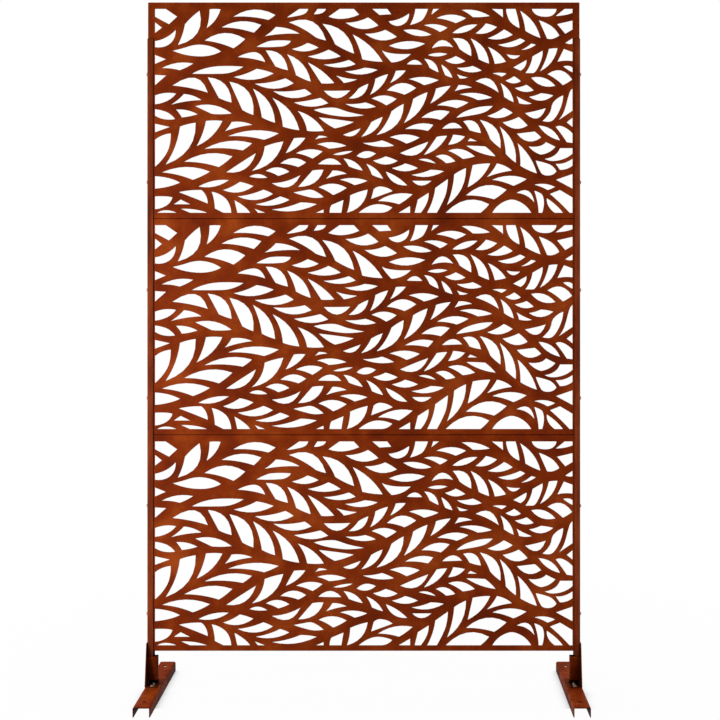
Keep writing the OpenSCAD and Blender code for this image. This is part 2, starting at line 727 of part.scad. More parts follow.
module foot_nuts() {
  color(zinc_color)
  both_sides()
  foot_bolt_places()
  translate([0, 0, -bracket_t - foot_t])
  mirror([0, 0, 1])
  nut(foot_bolt_d);
}

// ---- assembly -------------------------------------------------------------------
panel_top();
panel_middle();
panel_bottom();
post_left_upper();
post_left_lower();
post_right_upper();
post_right_lower();
bracket_left();
bracket_right();
foot_left();
foot_right();
panel_bolts_left();
panel_bolts_right();
panel_nuts_left();
panel_nuts_right();
post_bolts();
post_nuts();
foot_bolts();
foot_washers();
foot_nuts();
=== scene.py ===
# %% [markdown]
# # A laser cut metal screen
# A free-standing garden screen. Three folded sheet panels, cut through in a leaf pattern, slide
# into two upright channel posts, and each post stands in a bracket on a channel foot.
# The CAD model comes in first as a fixed frame. Everything made here goes where that frame
# says, so nothing has to be fitted by eye.

# %% Load the frame
import math

import bmesh
import bpy
from mathutils import Matrix, Vector


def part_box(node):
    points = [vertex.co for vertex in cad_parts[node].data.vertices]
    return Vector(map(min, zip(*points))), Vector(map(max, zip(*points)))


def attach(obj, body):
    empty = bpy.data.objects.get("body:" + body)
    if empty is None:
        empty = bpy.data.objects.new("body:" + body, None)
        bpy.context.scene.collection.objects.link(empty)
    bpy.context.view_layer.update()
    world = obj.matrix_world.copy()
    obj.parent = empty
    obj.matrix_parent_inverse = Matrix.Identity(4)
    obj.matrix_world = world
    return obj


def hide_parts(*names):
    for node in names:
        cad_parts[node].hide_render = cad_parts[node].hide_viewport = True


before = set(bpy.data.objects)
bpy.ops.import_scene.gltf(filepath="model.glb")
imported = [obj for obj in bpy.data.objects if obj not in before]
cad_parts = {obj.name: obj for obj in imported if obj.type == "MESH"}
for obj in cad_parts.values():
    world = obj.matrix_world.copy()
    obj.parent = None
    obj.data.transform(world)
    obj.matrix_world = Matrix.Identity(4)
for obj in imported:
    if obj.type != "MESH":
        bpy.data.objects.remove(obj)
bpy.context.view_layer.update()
MM = 0.001

# %% [markdown]
# ## The camera
# The photograph was taken level, from a little over three and a half metres in front of the
# screen, with the camera just right of its middle and above its waist. A product photographer
# keeps the camera level so that uprights stay upright, and frames the subject by shifting the
# lens. Blender's shift does the same, and is measured in widths of the image.

# %% Camera
IMAGE = 720
FOCAL_PIXELS = 1311.7
EYE = Vector((106, -3697, 1216)) * MM
EYE_COLUMN, HORIZON_ROW = 401.5, 261.5

lens = bpy.data.cameras.new("camera")
lens.sensor_width = 36
lens.lens = FOCAL_PIXELS / IMAGE * lens.sensor_width
lens.shift_x = 0.5 - EYE_COLUMN / IMAGE
lens.shift_y = HORIZON_ROW / IMAGE - 0.5
camera = bpy.data.objects.new("camera", lens)
camera.location = EYE
camera.rotation_euler = (math.radians(90), 0, 0)
bpy.context.scene.collection.objects.link(camera)
bpy.context.scene.camera = camera
bpy.context.scene.view_settings.view_transform = "Standard"
print("lens", round(lens.lens, 1), "mm, shift", round(lens.shift_x, 3), round(lens.shift_y, 3))

# %% [markdown]
# ## Colours and nodes
# Colours are written as sRGB hex values, the way a paint chart or a picture gives them, while
# shaders work in linear light, so one function converts them. A second small function adds a
# shader node: its settings are the words of the node itself, and each socket gets a number, a
# colour or another node's output.

# %% Colour and node helpers
def linear(hex_colour):
    parts = [int(hex_colour[i:i + 2], 16) / 255 for i in (1, 3, 5)]
    return tuple(c / 12.92 if c <= 0.04045 else ((c + 0.055) / 1.055) ** 2.4 for c in parts) + (1,)


def add(tree, kind, sockets=(), stops=(), **settings):
    node = tree.nodes.new("ShaderNode" + kind)
    for name, value in settings.items():
        setattr(node, name, value)
    for name, value in dict(sockets).items():
        if isinstance(value, bpy.types.NodeSocket):
            tree.links.new(value, node.inputs[name])
        else:
            node.inputs[name].default_value = value
    for i, (position, colour) in enumerate(stops):
        ramp = node.color_ramp.elements
        stop = ramp[i] if i < len(ramp) else ramp.new(position)
        stop.position, stop.color = position, linear(colour)
    return node


def new_material(name):
    material = bpy.data.materials.new(name)
    material.use_nodes = True
    material.node_tree.nodes.clear()
    return material, material.node_tree


# %% [markdown]
# ## Rust red powder coat
# The sheet is mild steel with a baked powder coat in the red brown of weathered steel. Powder
# melts into a matt film with only a faint gloss, and a fine orange-peel texture. The rust look
# comes from two powders dusted on together: broad drifts of orange brown and dark brown, with
# smaller patches inside them and a fine speckle. Three noises in the piece's own coordinates
# give these, each at a size set in millimetres. On the long posts the drifts are drawn out
# into streaks, as the powder falls along them. The coat colour is also darkened in inner
# corners as painted shade: an ambient occlusion node tells how shut in each point is, and the
# colour is multiplied by it.

# %% Powder coat material
# how far round a point other metal counts as near, and how fast the painted corner shade deepens with it
CORNER_REACH, CORNER_SHADE_POWER = 60 * MM, 1.5


def rust_coat(name, dark, middle, warm, drift, streak, gloss, roughness):
    """Colours from dark to warm; drift is the width of a patch in mm, streak how many times as
    tall as wide it is, and gloss the strength of the shine."""
    material, tree = new_material(name)
    where = add(tree, "TexCoord")
    along = add(tree, "Mapping", {"Vector": where.outputs["Object"], "Scale": (1, 1, 1 / streak)})
    drifts = add(tree, "TexNoise", {"Vector": along.outputs["Vector"], "Scale": 1 / (drift * MM),
                                    "Detail": 2.0, "Roughness": 0.5, "Distortion": 0.3})
    patches = add(tree, "TexNoise", {"Vector": along.outputs["Vector"], "Scale": 3 / (drift * MM),
                                     "Detail": 3.0, "Roughness": 0.55})
    both = add(tree, "Mix", {"Factor": 0.4, 2: drifts.outputs["Fac"], 3: patches.outputs["Fac"]})
    tone = add(tree, "ValToRGB", {"Fac": both.outputs[0]},
               stops=((0.36, dark), (0.50, middle), (0.66, warm)))
    # powder specks are under a millimetre, drawn at 4 mm so that they show at all
    specks = add(tree, "TexNoise", {"Vector": where.outputs["Object"], "Scale": 1 / (4 * MM),
                                    "Detail": 2.0, "Roughness": 0.5})
    shade = add(tree, "MapRange", {"Value": specks.outputs["Fac"], "From Min": 0.25, "From Max": 0.75,
                                   "To Min": 0.86, "To Max": 1.14})
    # painted shade: the colour darkens where other metal is near
    shut_in = add(tree, "AmbientOcclusion", {"Distance": CORNER_REACH}, samples=8)
    painted_corner_shade = add(tree, "Math", {0: shut_in.outputs["AO"], 1: CORNER_SHADE_POWER}, operation="POWER")
    value = add(tree, "Math", {0: shade.outputs["Result"], 1: painted_corner_shade.outputs["Value"]},
                operation="MULTIPLY")
    colour = add(tree, "Mix", {6: tone.outputs["Color"], 7: value.outputs["Value"], "Factor": 1.0},
                 data_type="RGBA", blend_type="MULTIPLY")
    sheen = add(tree, "MapRange", {"Value": both.outputs[0], "From Min": 0.3, "From Max": 0.7,
                                   "To Min": roughness + 0.06, "To Max": roughness - 0.06})
    # orange peel is about 1 mm from crest to crest, drawn at 3 mm
    peel = add(tree, "TexNoise", {"Vector": where.outputs["Object"], "Scale": 1 / (3 * MM), "Detail": 1.0})
    bump = add(tree, "Bump", {"Height": peel.outputs["Fac"], "Strength": 0.2, "Distance": 0.15 * MM})
    coat = add(tree, "BsdfPrincipled", {"Base Color": colour.outputs[2], "Roughness": sheen.outputs["Result"],
                                        "Specular IOR Level": gloss, "Normal": bump.outputs["Normal"]})
    add(tree, "OutputMaterial", {"Surface": coat.outputs["BSDF"]})
    return material


panel_coat = rust_coat("matt_rust_red_powder_coat_on_panels",
                       "#5d1b02", "#722603", "#8c3a0f", 150, 1.0, 0.05, 0.55)
post_coat = rust_coat("streaked_rust_red_powder_coat_on_posts",
                      "#521d09", "#68270d", "#803818", 36, 6.0, 0.05, 0.50)
foot_coat = rust_coat("satin_rust_red_powder_coat_on_feet",
                      "#611f06", "#742806", "#8a390f", 60, 1.0, 0.01, 0.50)
# the brackets' colours are darker than those of the posts and feet as painted shade, for the deep shade round
# the brackets
bracket_coat = rust_coat("rust_red_powder_coat_darkened_as_painted_shade_on_brackets",
                         "#4b1602", "#5c1e03", "#712e0c", 60, 1.0, 0.01, 0.50)
print("powder coats:", panel_coat.name, post_coat.name, foot_coat.name, bracket_coat.name)

# %% [markdown]
# ## Coat on the cut edges
# A laser leaves a sharp, finely ribbed edge, and melted powder draws back from it. The walls of
# the openings are a thinner and darker brown than the faces, partly from that thin coat and
# partly as painted shade in the narrow walls, with ribs that run through the sheet. They get a
# material of their own, which the panels use as a second slot.

# %% Cut edge material
def cut_edge_coat():
    material, tree = new_material("thin_powder_coat_and_painted_shade_on_laser_cut_edges")
    where = add(tree, "TexCoord")
    # the ribs are 0.2 mm apart on the real edge, drawn at 1 mm
    ribs = add(tree, "TexNoise", {"Vector": where.outputs["Object"], "Scale": 1 / (1 * MM), "Detail": 1.0})
    # these dark browns are partly the thin coat and partly painted shade of the narrow cut walls
    tone = add(tree, "ValToRGB", {"Fac": ribs.outputs["Fac"]}, stops=((0.35, "#34140a"), (0.65, "#52200c")))
    bump = add(tree, "Bump", {"Height": ribs.outputs["Fac"], "Strength": 0.4, "Distance": 0.05 * MM})
    coat = add(tree, "BsdfPrincipled", {"Base Color": tone.outputs["Color"], "Roughness": 0.6,
                                        "Specular IOR Level": 0.1, "Normal": bump.outputs["Normal"]})
    add(tree, "OutputMaterial", {"Surface": coat.outputs["BSDF"]})
    return material


edge_coat = cut_edge_coat()

# %% [markdown]
# ## Zinc plate
# The fasteners are steel with a thin electroplated zinc coat. It is a bare metal to the eye,
# grey with the warm cast of its passivation dip, and far from mirror bright because the barrel
# that they are plated in scuffs them. A metal's colour is the colour of its reflections, so the
# base colour says how much light comes back, and noise in the roughness gives the scuffs.

# %% Zinc material
def zinc_plate():
    material, tree = new_material("dull_zinc_plate_on_steel")
    where = add(tree, "TexCoord")
    scuffs = add(tree, "TexNoise", {"Vector": where.outputs["Object"], "Scale": 1 / (1.5 * MM),
                                    "Detail": 3.0})
    tone = add(tree, "ValToRGB", {"Fac": scuffs.outputs["Fac"]}, stops=((0.35, "#8c7d74"), (0.65, "#a89a91")))
    gloss = add(tree, "MapRange", {"Value": scuffs.outputs["Fac"], "From Min": 0.3, "From Max": 0.7,
                                   "To Min": 0.28, "To Max": 0.44})
    plate = add(tree, "BsdfPrincipled", {"Base Color": tone.outputs["Color"], "Metallic": 1.0,
                                         "Roughness": gloss.outputs["Result"]})
    add(tree, "OutputMaterial", {"Surface": plate.outputs["BSDF"]})
    return material


zinc = zinc_plate()

# %% [markdown]
# ## Rounding the folds
# Every sheet piece here is cut flat and folded on a press brake. A fold is never sharp: its
# inside follows the nose of the tool, and its outside is one sheet thickness larger. The solids
# have square folds, so each piece is copied, its corners are merged, and its fold lines are
# bevelled, with one radius on the convex side and a smaller one on the concave side. The bevel
# keeps the sheet evenly thick round the bend, and gives each fold the thin line of light that
# shows that it is bent.
#
# A CAD mesh is all triangles. At the end of a fold, a bevel slides its new corners along the
# lines that it finds there, and a slanting triangle line leads them astray. So those lines are
# taken out first, the longest before the others, and cuts across the sheet give the bevel
# straight lines to follow.

# %% Sheet metal helpers
# a cut goes this share of the way to the nearest corner along the fold; corners closer than
# OWN_END belong to the end of the fold itself
TO_NEXT_CORNER, OWN_END = 0.9, 3 * MM
# a face is the wall of a hole if its normal has less than this across the sheet
WALL_LEAN = 0.3


def merged_copy(node):
    bm = bmesh.new()
    bm.from_mesh(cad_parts[node].data)
    bmesh.ops.remove_doubles(bm, verts=bm.verts, dist=0.005 * MM)
    bmesh.ops.dissolve_degenerate(bm, edges=bm.edges, dist=0.005 * MM)
    bm.normal_update()
    return bm


def at(value, place):
    return abs(value - place) < 0.02 * MM


def corner(edge):
    """Whether the edge is a right-angled corner rather than a line across a flat face."""
    return len(edge.link_faces) == 2 and edge.calc_face_angle() > math.radians(60)


def bevel(bm, edges, width, segments):
    bmesh.ops.bevel(bm, geom=edges, offset=width, offset_type="OFFSET", segments=segments,
                    profile=0.5, affect="EDGES", material=-1, clamp_overlap=False)


def cut_across(bm, axis, place):
    across = Vector([float(i == axis) for i in range(3)])
    bmesh.ops.bisect_plane(bm, geom=bm.verts[:] + bm.edges[:] + bm.faces[:], dist=0.0005 * MM,
                           plane_co=across * place, plane_no=across)


def clear_fold_ends(bm, folds, strip, level):
    """Takes out the triangle lines that run into the end of a fold, which would pull its bevel
    askew. Cuts across go strip from the ends, or by the nearest corner, and one more at level."""
    spans = [[v.co.copy() for v in e.verts] for e in folds]
    ends = [end for span in spans for end in span]

    def clear():
        slants = {e for v in bm.verts if any((v.co - end).length < 0.01 * MM for end in ends)
                  for e in v.link_edges if len(e.link_faces) == 2 and not corner(e)}
        for slant in sorted(slants, key=lambda e: -e.calc_length()):
            bmesh.ops.dissolve_edges(bm, edges=[slant], use_verts=False, use_face_split=False)

    clear()
    # the shortest line to a hole may be left: a cut just short of the hole parts the fold from it
    cuts = set() if level is None else {(2, level)}
    for a, b in spans:
        along = max(range(3), key=lambda i: abs(a[i] - b[i]))
        for end, other in ((a[along], b[along]), (b[along], a[along])):
            gaps = [abs(v.co[along] - end) for v in bm.verts]
            reach = strip or TO_NEXT_CORNER * min(gap for gap in gaps if gap > OWN_END)
            cuts.add((along, round(end + math.copysign(reach, other - end), 6)))
    for axis, place in sorted(cuts):
        cut_across(bm, axis, place)
    clear()


def round_folds(bm, is_fold, outside, inside, clear=True, strip=None, level=None):
    def folds(convex):
        return [e for e in bm.edges if corner(e) and e.is_convex == convex
                and is_fold(*[v.co for v in e.verts])]

    if clear:
        clear_fold_ends(bm, folds(True) + folds(False), strip, level)
    rounded = len(folds(True)), len(folds(False))
    bevel(bm, folds(True), outside, 5)
    bevel(bm, folds(False), inside, 4)
    return rounded


def hand_in(bm, name, nodes, materials):
    """Turns the bmesh into a finished piece that stands for the CAD nodes."""
    mesh = bpy.data.meshes.new(name)
    bm.to_mesh(mesh)
    bm.free()
    mesh.shade_smooth()
    mesh.set_sharp_from_angle(angle=math.radians(32))
    for material in materials:
        mesh.materials.append(material)
    piece = bpy.data.objects.new(name, mesh)
    bpy.context.scene.collection.objects.link(piece)
    # flat faces keep their own direction, and only the bends shade from one to the next
    even = piece.modifiers.new("even_shading", "WEIGHTED_NORMAL")
    even.keep_sharp = True
    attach(piece, "root")
    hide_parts(*nodes)
    print(name, "has", len(mesh.polygons), "faces")


# %% [markdown]
# ## The panels
# Each panel is one sheet of 1.2 mm steel. The leaf pattern is cut while it is flat, and then all
# four edges are folded back to make a shallow tray, which keeps the thin lattice stiff. The four
# folds on the front are rounded to 2.4 mm outside and half of that inside. Where two panels
# meet, the upper one's fold turns into shade and the lower one's catches the light.

# %% Panels
PANEL_SHEET = 1.2 * MM
PANEL_BEND = 2 * PANEL_SHEET
# the walls of the leaf pattern are further in from the sides of the panel than this
PANEL_RIM = 5 * MM


def make_panel(node):
    bm = merged_copy(node)
    low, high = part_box(node)

    def is_fold(a, b):
        for depth in (0, PANEL_SHEET):
            if at(a.y, low[1] + depth) and at(b.y, low[1] + depth):
                for axis in (0, 2):
                    for side in (low[axis] + depth, high[axis] - depth):
                        if at(a[axis], side) and at(b[axis], side):
                            return True
        return False

    folds = round_folds(bm, is_fold, PANEL_BEND, PANEL_BEND - PANEL_SHEET, clear=False)
    cut_walls = 0
    for face in bm.faces:
        middle = face.calc_center_median()
        inside = all(low[i] + PANEL_RIM < middle[i] < high[i] - PANEL_RIM for i in (0, 2))
        if inside and middle.y < low[1] + PANEL_SHEET and abs(face.normal.y) < WALL_LEAN:
            face.material_index = 1
            cut_walls += 1
    print(node, "folds", folds, "cut walls", cut_walls)
    hand_in(bm, node + "_sheet", [node], [panel_coat, edge_coat])


for part in ("top", "middle", "bottom"):
    make_panel("panel_" + part)

# %% [markdown]
# ## The posts
# A post is a C channel folded from 1.5 mm sheet, open towards the panels, in two lengths that
# stand end on end. The middle panel is bolted to both and keeps them in line. The two long
# folds are rounded to 3 mm outside. The ends are sheared square and their edges eased with a
# file, so a fine line shows where the lengths meet.

# %% Posts
POST_SHEET = 1.5 * MM
POST_BEND = 2 * POST_SHEET
FILED = 0.3 * MM
# a fold lies within POST_OUTER of the outer side, and lines shorter than the second are no fold
POST_OUTER, SHORTEST_POST_FOLD = 5 * MM, 4 * MM


def file_ends(bm, axis, low, high):
    """Eases the edges of the two flat ends that face along the axis."""
    ends = [e for e in bm.edges if corner(e) and e.is_convex and any(
        all(at(v.co[axis], end) for v in e.verts) for end in (low[axis], high[axis]))]
    bevel(bm, ends, FILED, 2)
    return len(ends)


def make_post(node):
    bm = merged_copy(node)
    low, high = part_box(node)
    web = max(abs(low[0]), abs(high[0])) - POST_OUTER

    def is_fold(a, b):
        upright = at(a.x, b.x) and at(a.y, b.y) and abs(a.z - b.z) > SHORTEST_POST_FOLD
        return upright and abs(a.x) > web

    print(node, "folds", round_folds(bm, is_fold, POST_BEND, POST_BEND - POST_SHEET),
          "end edges", file_ends(bm, 2, low, high))
    hand_in(bm, node + "_channel", [node], [post_coat])


for part in ("left_upper", "left_lower", "right_upper", "right_lower"):
    make_post("post_" + part)

# %% [markdown]
# ## The feet
# A foot is an upside-down U channel of 2.5 mm sheet that runs from front to back, with a hole
# near each end for a ground anchor. Its two top folds are rounded to 5 mm outside, and its ends
# are filed like those of the posts. The walls of the holes get the panels' cut edge coat: thin,
# and darkened partly as painted shade.

# %% Feet
FOOT_SHEET = 2.5 * MM
FOOT_BEND = 2 * FOOT_SHEET
# a fold lies within FOOT_TOP of the top, and lines shorter than the second are no fold
FOOT_TOP, SHORTEST_FOOT_FOLD = 5 * MM, 20 * MM
# the holes for the anchors are at least this far in from the sides and the ends
HOLE_MARGIN = 10 * MM


def make_foot(node):
    bm = merged_copy(node)
    low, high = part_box(node)

    def is_fold(a, b):
        lengthwise = at(a.x, b.x) and at(a.z, b.z) and abs(a.y - b.y) > SHORTEST_FOOT_FOLD
        return lengthwise and a.z > high[2] - FOOT_TOP

    print(node, "folds", round_folds(bm, is_fold, FOOT_BEND, FOOT_BEND - FOOT_SHEET),
          "end edges", file_ends(bm, 1, low, high))
    for face in bm.faces:
        place = face.calc_center_median()
        in_hole = (low[0] + HOLE_MARGIN < place.x < high[0] - HOLE_MARGIN
                   and abs(place.y) < high[1] - HOLE_MARGIN)
        if in_hole and abs(face.normal.z) < WALL_LEAN:
            face.material_index = 1
    hand_in(bm, node + "_channel", [node], [foot_coat, edge_coat])


for side in ("left", "right"):
    make_foot("foot_" + side)

# %% [markdown]
# ## The brackets
# The bracket is 2 mm sheet: a base with the outer gusset folded up from it, and an upright
# channel that closes round the front flange of the post. The true folds are rounded: the long
# one at the outer edge of the base, and the two at the free side of the upright. Where the
# upright meets the gusset and the base it is welded, so those lines stay square. The remaining
# outer edges are eased.

# %% Brackets
BRACKET_SHEET = 2 * MM
BRACKET_BEND = 2 * BRACKET_SHEET
EASED, SHORTEST_EASED = 0.5 * MM, 12 * MM
BRACKET_STRIP, SHORTEST_BRACKET_FOLD = 10 * MM, 8 * MM
# a fold lies within BY_SIDE of its side, and what is ON_BASE or less above the base is at it
BY_SIDE, ON_BASE = 3 * MM, 1 * MM


def make_bracket(node):
    bm = merged_copy(node)
    low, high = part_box(node)
    inner, outer = sorted((abs(low[0]), abs(high[0])))
    base_top = low[2] + BRACKET_SHEET
    upright_foot = min(v.co.z for v in bm.verts if v.co.z > base_top + ON_BASE)

    def is_fold(a, b):
        standing = at(a.x, b.x) and at(a.y, b.y) and abs(a.z - b.z) > SHORTEST_BRACKET_FOLD
        lengthwise = at(a.x, b.x) and at(a.z, b.z) and abs(a.y - b.y) > SHORTEST_BRACKET_FOLD
        return (standing and abs(a.x) < inner + BY_SIDE and (a.z + b.z) / 2 > upright_foot) or (
            lengthwise and abs(a.x) > outer - BY_SIDE and a.z < base_top + ON_BASE)

    # the back of the upright runs on down to the base below its free side: a cut across at that
    # level gives the fold a line to end on
    folds = round_folds(bm, is_fold, BRACKET_BEND, BRACKET_BEND - BRACKET_SHEET,
                        strip=BRACKET_STRIP, level=upright_foot)
    rim = [e for e in bm.edges if corner(e) and e.is_convex and e.calc_length() > SHORTEST_EASED]
    bevel(bm, rim, EASED, 3)
    print(node, "folds", folds, "eased edges", len(rim))
    hand_in(bm, node + "_sheet", [node], [bracket_coat])


for side in ("left", "right"):
    make_bracket("bracket_" + side)

# %% [markdown]
# ## Turned blanks for the fasteners
# A bolt or nut starts as a turned blank, and so do these: half of the cross section is drawn as
# a few points, and spun a full turn round the axis. A thread is a fine zigzag in that outline.
# Rings in place of a true helix look the same at this size and need no special care at their
# ends.

# %% Turning
TURN_STEPS = 48


def turned(outline, closed=False):
    """Spins points (radius, height) round Z into a solid."""
    bm = bmesh.new()
    verts = [bm.verts.new((r, 0, z)) for r, z in outline]
    pairs = list(zip(verts, verts[1:])) + ([(verts[-1], verts[0])] if closed else [])
    edges = [bm.edges.new(pair) for pair in pairs]
    bmesh.ops.spin(bm, geom=verts + edges, cent=(0, 0, 0), axis=(0, 0, 1),
                   angle=2 * math.pi, steps=TURN_STEPS, use_merge=True)
    bmesh.ops.remove_doubles(bm, verts=bm.verts, dist=0.001 * MM)
    bmesh.ops.recalc_face_normals(bm, faces=bm.faces)
    return bm


def thread(diameter, pitch, start, end):
    """Zigzag from the crest at height start down to height end."""
    crest, root = diameter / 2, diameter / 2 - 0.6 * pitch
    turns = int(abs(start - end) / pitch)
    step = (end - start) / turns
    points = []
    for i in range(turns):
        points += [(crest, start + i * step), (root, start + (i + 0.5) * step)]
    return points + [(crest, end)]


print("crest of an M5 thread, mm:", [round(r / MM, 2) for r, z in thread(5 * MM, 0.8 * MM, 0, -4 * MM)][:2])

# %% [markdown]
# ## Nuts and hex heads
# The chamfer on a nut is turned before its flats are cut, which is why each flat ends in a
# curve. The same order makes the same curves here: six cuts with a plane, each closed with a
# flat face, take the turned blank down to its width across flats.

# %% Hex flats
def cut_flats(bm, across):
    for i in range(6):
        outwards = Vector((math.cos(math.pi / 3 * i), math.sin(math.pi / 3 * i), 0))
        cut = bmesh.ops.bisect_plane(bm, geom=bm.verts[:] + bm.edges[:] + bm.faces[:], dist=0.0005 * MM,
                                     plane_co=outwards * across / 2, plane_no=outwards, clear_outer=True)
        rim = [g for g in cut["geom_cut"] if isinstance(g, bmesh.types.BMEdge)]
        bmesh.ops.holes_fill(bm, edges=rim)
    bmesh.ops.recalc_face_normals(bm, faces=bm.faces)
    return bm


def nut_blank(d, height, across):
    corner_r, chamfer_r = 0.985 * across / 2 / math.cos(math.pi / 6), 0.95 * across / 2
    drop = (corner_r - chamfer_r) * math.tan(math.pi / 6)
    bore = d / 2
    outline = [(bore + 0.3 * MM, height), (chamfer_r, height), (corner_r, height - drop),
               (corner_r, drop), (chamfer_r, 0), (bore + 0.3 * MM, 0), (bore, 0.3 * MM),
                (bore, height - 0.3 * MM)]
    return cut_flats(turned(outline, closed=True), across)


def hex_bolt(d, pitch, head, across, length):
    corner_r, chamfer_r = 0.985 * across / 2 / math.cos(math.pi / 6), 0.93 * across / 2
    drop = (corner_r - chamfer_r) * math.tan(math.pi / 6)
    outline = [(0, head), (chamfer_r, head), (corner_r, head - drop), (corner_r, 0)]
    outline += thread(d, pitch, 0, 0.5 * MM - length) + [(d / 2 - 0.5 * MM, -length), (0, -length)]
    return cut_flats(turned(outline), across)


# %% [markdown]
# ## Socket head bolts
# The bolts through the posts have round heads with a hexagonal socket. The head and the
# threaded shank are turned in one outline that is left open at the top, and the socket is a
# hexagon with its sides divided, so that it has as many corners as the round rim that it is
# bridged to. Pushed down and closed, it is the recess for the key.

# %% Socket head bolt
def socket_bolt(d, pitch, head_r, head, key, length):
    ease = 0.1 * d
    outline = [(head_r - ease, head), (head_r - 0.3 * ease, head - 0.3 * ease), (head_r, head - ease),
               (head_r, 0)]
    outline += thread(d, pitch, 0, 0.5 * MM - length) + [(d / 2 - 0.5 * MM, -length), (0, -length)]
    bm = turned(outline)
    rim = [e for e in bm.edges if e.is_boundary]
    socket = bmesh.ops.create_circle(bm, segments=6, radius=key / 2 / math.cos(math.pi / 6))["verts"]
    sides = [e for e in bm.edges if e.is_wire]
    bmesh.ops.translate(bm, verts=socket, vec=(0, 0, head))
    bmesh.ops.subdivide_edges(bm, edges=sides, cuts=TURN_STEPS // 6 - 1)
    sides = [e for e in bm.edges if e.is_wire]
    bmesh.ops.bridge_loops(bm, edges=rim + sides)
    walls = bmesh.ops.extrude_edge_only(bm, edges=[e for e in bm.edges if e.is_boundary])["geom"]
    deep = [g for g in walls if isinstance(g, bmesh.types.BMVert)]
    bmesh.ops.translate(bm, verts=deep, vec=(0, 0, -0.55 * head))
    bmesh.ops.holes_fill(bm, edges=[e for e in bm.edges if e.is_boundary])
    bmesh.ops.recalc_face_normals(bm, faces=bm.faces)
    return bm


# %% [markdown]
# ## Putting the fasteners in place
# A CAD node holds all the bolts of a kind as separate solids. Their boxes say where each one
# sits and how long it is, so the places are read from the frame and not typed again. The blank
# is stood on that seat, turned from Z to the bolt's own direction, and copied into one mesh.

# %% Places of the solids in a node
def solids(node):
    """Lowest and highest corner of each separate solid."""
    bm = merged_copy(node)
    boxes, seen = [], set()
    for start in bm.verts:
        if start in seen:
            continue
        reached, waiting = [], [start]
        seen.add(start)
        while waiting:
            vert = waiting.pop()
            reached.append(vert.co.copy())
            for edge in vert.link_edges:
                other = edge.other_vert(vert)
                if other not in seen:
                    seen.add(other)
                    waiting.append(other)
        boxes.append((Vector([min(p[i] for p in reached) for i in range(3)]),
                      Vector([max(p[i] for p in reached) for i in range(3)])))
    bm.free()
    return boxes


def stamp(group, blank, seat, direction):
    """Adds the blank to the group, standing on seat with its Z along direction."""
    place = Matrix.Translation(seat) @ direction.to_track_quat("Z", "Y").to_matrix().to_4x4()
    bmesh.ops.transform(blank, matrix=place, verts=blank.verts)
    carrier = bpy.data.meshes.new("carrier")
    blank.to_mesh(carrier)
    blank.free()
    group.from_mesh(carrier)
    bpy.data.meshes.remove(carrier)


def fasteners(node, name, direction, head, make):
    """One blank for each solid of the node; direction points out of the head, or out of the
    nut's free face, and head is how far that lies beyond the seat."""
    group = bmesh.new()
    for low, high in solids(node):
        out = direction(low)
        middle = (low + high) / 2
        reach = abs((high - low).dot(out)) / 2
        seat = middle + out * (reach - head)
        stamp(group, make(2 * reach - head), seat, out)
    hand_in(group, name, [node], [zinc])


# %% Bolts and nuts
M5, M5_PITCH = 5 * MM, 0.8 * MM
RIGHT, LEFT, UP, DOWN = Vector((1, 0, 0)), Vector((-1, 0, 0)), Vector((0, 0, 1)), Vector((0, 0, -1))
SOCKET_HEAD, HEX_HEAD, M5_NUT, M5_ACROSS = 4 * MM, 3.25 * MM, 4 * MM, 8.25 * MM


def m5_bolt(length):
    return socket_bolt(M5, M5_PITCH, 4.5 * MM, SOCKET_HEAD, 3.5 * MM, length)


def m5_nut(_):
    return nut_blank(M5, M5_NUT, M5_ACROSS)


def outward(low):
    return LEFT if low.x < 0 else RIGHT


for side in ("left", "right"):
    fasteners("panel_bolts_" + side, "panel_bolts_" + side + "_zinc", outward, SOCKET_HEAD, m5_bolt)
    fasteners("panel_nuts_" + side, "panel_nuts_" + side + "_zinc", lambda low: -outward(low), M5_NUT, m5_nut)
fasteners("post_bolts", "post_bolts_zinc", outward, SOCKET_HEAD, m5_bolt)
fasteners("post_nuts", "post_nuts_zinc", lambda low: -outward(low), M5_NUT, m5_nut)
fasteners("foot_bolts", "foot_bolts_zinc", lambda low: UP, HEX_HEAD,
          lambda length: hex_bolt(M5, M5_PITCH, HEX_HEAD, M5_ACROSS, length))
fasteners("foot_nuts", "foot_nuts_zinc", lambda low: DOWN, M5_NUT, m5_nut)

# %% [markdown]
# ## Washers
# A plain washer is punched from strip, which rolls its top edges over a little. The ring is
# turned from a closed outline with those two edges eased.

# %% Washers
WASHER, WASHER_OUT, WASHER_BORE, ROLLED = 1.2 * MM, 5 * MM, 2.75 * MM, 0.2 * MM


def washer_blank(_):
    return turned([(WASHER_BORE, 0), (WASHER_OUT, 0), (WASHER_OUT, WASHER - ROLLED),
                   (WASHER_OUT - ROLLED, WASHER), (WASHER_BORE + ROLLED, WASHER),
                   (WASHER_BORE, WASHER - ROLLED)], closed=True)


fasteners("foot_washers", "foot_washers_zinc", lambda low: UP, WASHER, washer_blank)

# %% [markdown]
# ## Floor, background and light
# A product shot on white is lit by large soft lamps over a pale floor that runs up into a pale
# background. The camera sees the world as white, and so do the gloss of the paint and of the
# zinc, while the light that the world casts on the screen stays at a plain level. The floor
# takes the soft shadow of the screen, deepened under the feet by a painted shadow, with a
# painted glow just inside their front ends, and pales to white away from it.

# %% World
def is_seen(tree):
    """1 for what the camera, a reflection or a view through glass shows, otherwise 0."""
    path = add(tree, "LightPath")
    either = add(tree, "Math", {0: path.outputs["Is Camera Ray"], 1: path.outputs["Is Glossy Ray"]},
                 operation="MAXIMUM")
    return add(tree, "Math", {0: either.outputs["Value"], 1: path.outputs["Is Transmission Ray"]},
               operation="MAXIMUM")


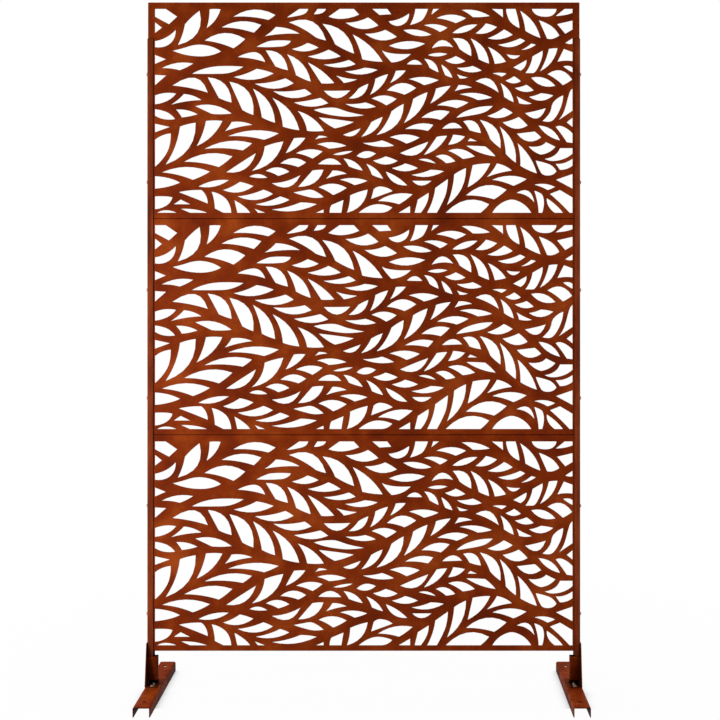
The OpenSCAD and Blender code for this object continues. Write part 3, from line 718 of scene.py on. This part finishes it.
world = bpy.data.worlds.new("studio")
bpy.context.scene.world = world
world.use_nodes = True
world.node_tree.nodes.clear()
sky = world.node_tree
AMBIENT = 0.10
level = add(sky, "MapRange", {"Value": is_seen(sky).outputs["Value"], "To Min": AMBIENT, "To Max": 1.0})
white = add(sky, "Background", {"Color": linear("#ffffff"), "Strength": level.outputs["Result"]})
add(sky, "OutputWorld", {"Surface": white.outputs["Background"]})

# %% Floor
# behind this depth the floor's glow is cut as a painted shadow where other metal is within UNDER_FEET of it;
# in front of it the floor keeps its glow
FOOT_FRONT_SHADE, UNDER_FEET = -0.13, 60 * MM


def white_floor():
    material, tree = new_material("white_studio_floor")
    where = add(tree, "TexCoord")
    away = add(tree, "VectorMath", {0: where.outputs["Object"]}, operation="LENGTH")
    paling = add(tree, "MapRange", {"Value": away.outputs["Value"], "From Min": 0.7, "From Max": 2.0,
                                    "To Min": 0.98, "To Max": 1.0})
    # the floor's glow is cut as a painted shadow under the feet, and kept as a painted glow just inside their
    # front ends
    covered = add(tree, "AmbientOcclusion", {"Distance": UNDER_FEET}, samples=8)
    glow_outside_painted_shadow = add(tree, "MapRange", {"Value": covered.outputs["AO"], "From Min": 0.15, "From Max": 0.8})
    depth = add(tree, "SeparateXYZ", {"Vector": where.outputs["Object"]})
    front = add(tree, "Math", {0: depth.outputs["Y"], 1: FOOT_FRONT_SHADE}, operation="LESS_THAN")
    glow_mask = add(tree, "Math", {0: glow_outside_painted_shadow.outputs["Result"], 1: front.outputs["Value"]}, operation="MAXIMUM")
    glow = add(tree, "Math", {0: paling.outputs["Result"], 1: glow_mask.outputs["Value"]}, operation="MULTIPLY")
    share = add(tree, "Math", {0: glow.outputs["Value"], 1: is_seen(tree).outputs["Value"]},
                operation="MULTIPLY")
    matt = add(tree, "BsdfDiffuse", {"Color": linear("#a8a8a6")})
    pale = add(tree, "Emission", {"Color": linear("#ffffff"), "Strength": 1.0})
    mixed = add(tree, "MixShader", {0: share.outputs["Value"], 1: matt.outputs["BSDF"],
                                    2: pale.outputs["Emission"]})
    add(tree, "OutputMaterial", {"Surface": mixed.outputs["Shader"]})
    return material


bm = bmesh.new()
bmesh.ops.create_grid(bm, x_segments=1, y_segments=1, size=30)
floor_mesh = bpy.data.meshes.new("floor")
bm.to_mesh(floor_mesh)
bm.free()
floor_mesh.materials.append(white_floor())
floor = bpy.data.objects.new("floor", floor_mesh)
bpy.context.scene.collection.objects.link(floor)

# %% Lamps
def soft_lamp(name, place, aim, size, watts):
    lamp = bpy.data.lights.new(name, "AREA")
    lamp.shape = "DISK"
    lamp.size, lamp.energy = size, watts
    holder = bpy.data.objects.new(name, lamp)
    holder.location = place
    holder.rotation_euler = (Vector(aim) - Vector(place)).to_track_quat("-Z", "Y").to_euler()
    bpy.context.scene.collection.objects.link(holder)


SCREEN_MIDDLE, LAMP_SIZE = (0, 0, 0.95), 0.8
soft_lamp("left_lamp", (-2.35, -1.2, 1.0), SCREEN_MIDDLE, LAMP_SIZE, 92)
soft_lamp("right_lamp", (2.3, -1.15, 1.2), SCREEN_MIDDLE, LAMP_SIZE, 35)
soft_lamp("top_lamp", (0, 0.2, 3.4), (0, 0, 0), LAMP_SIZE, 60)
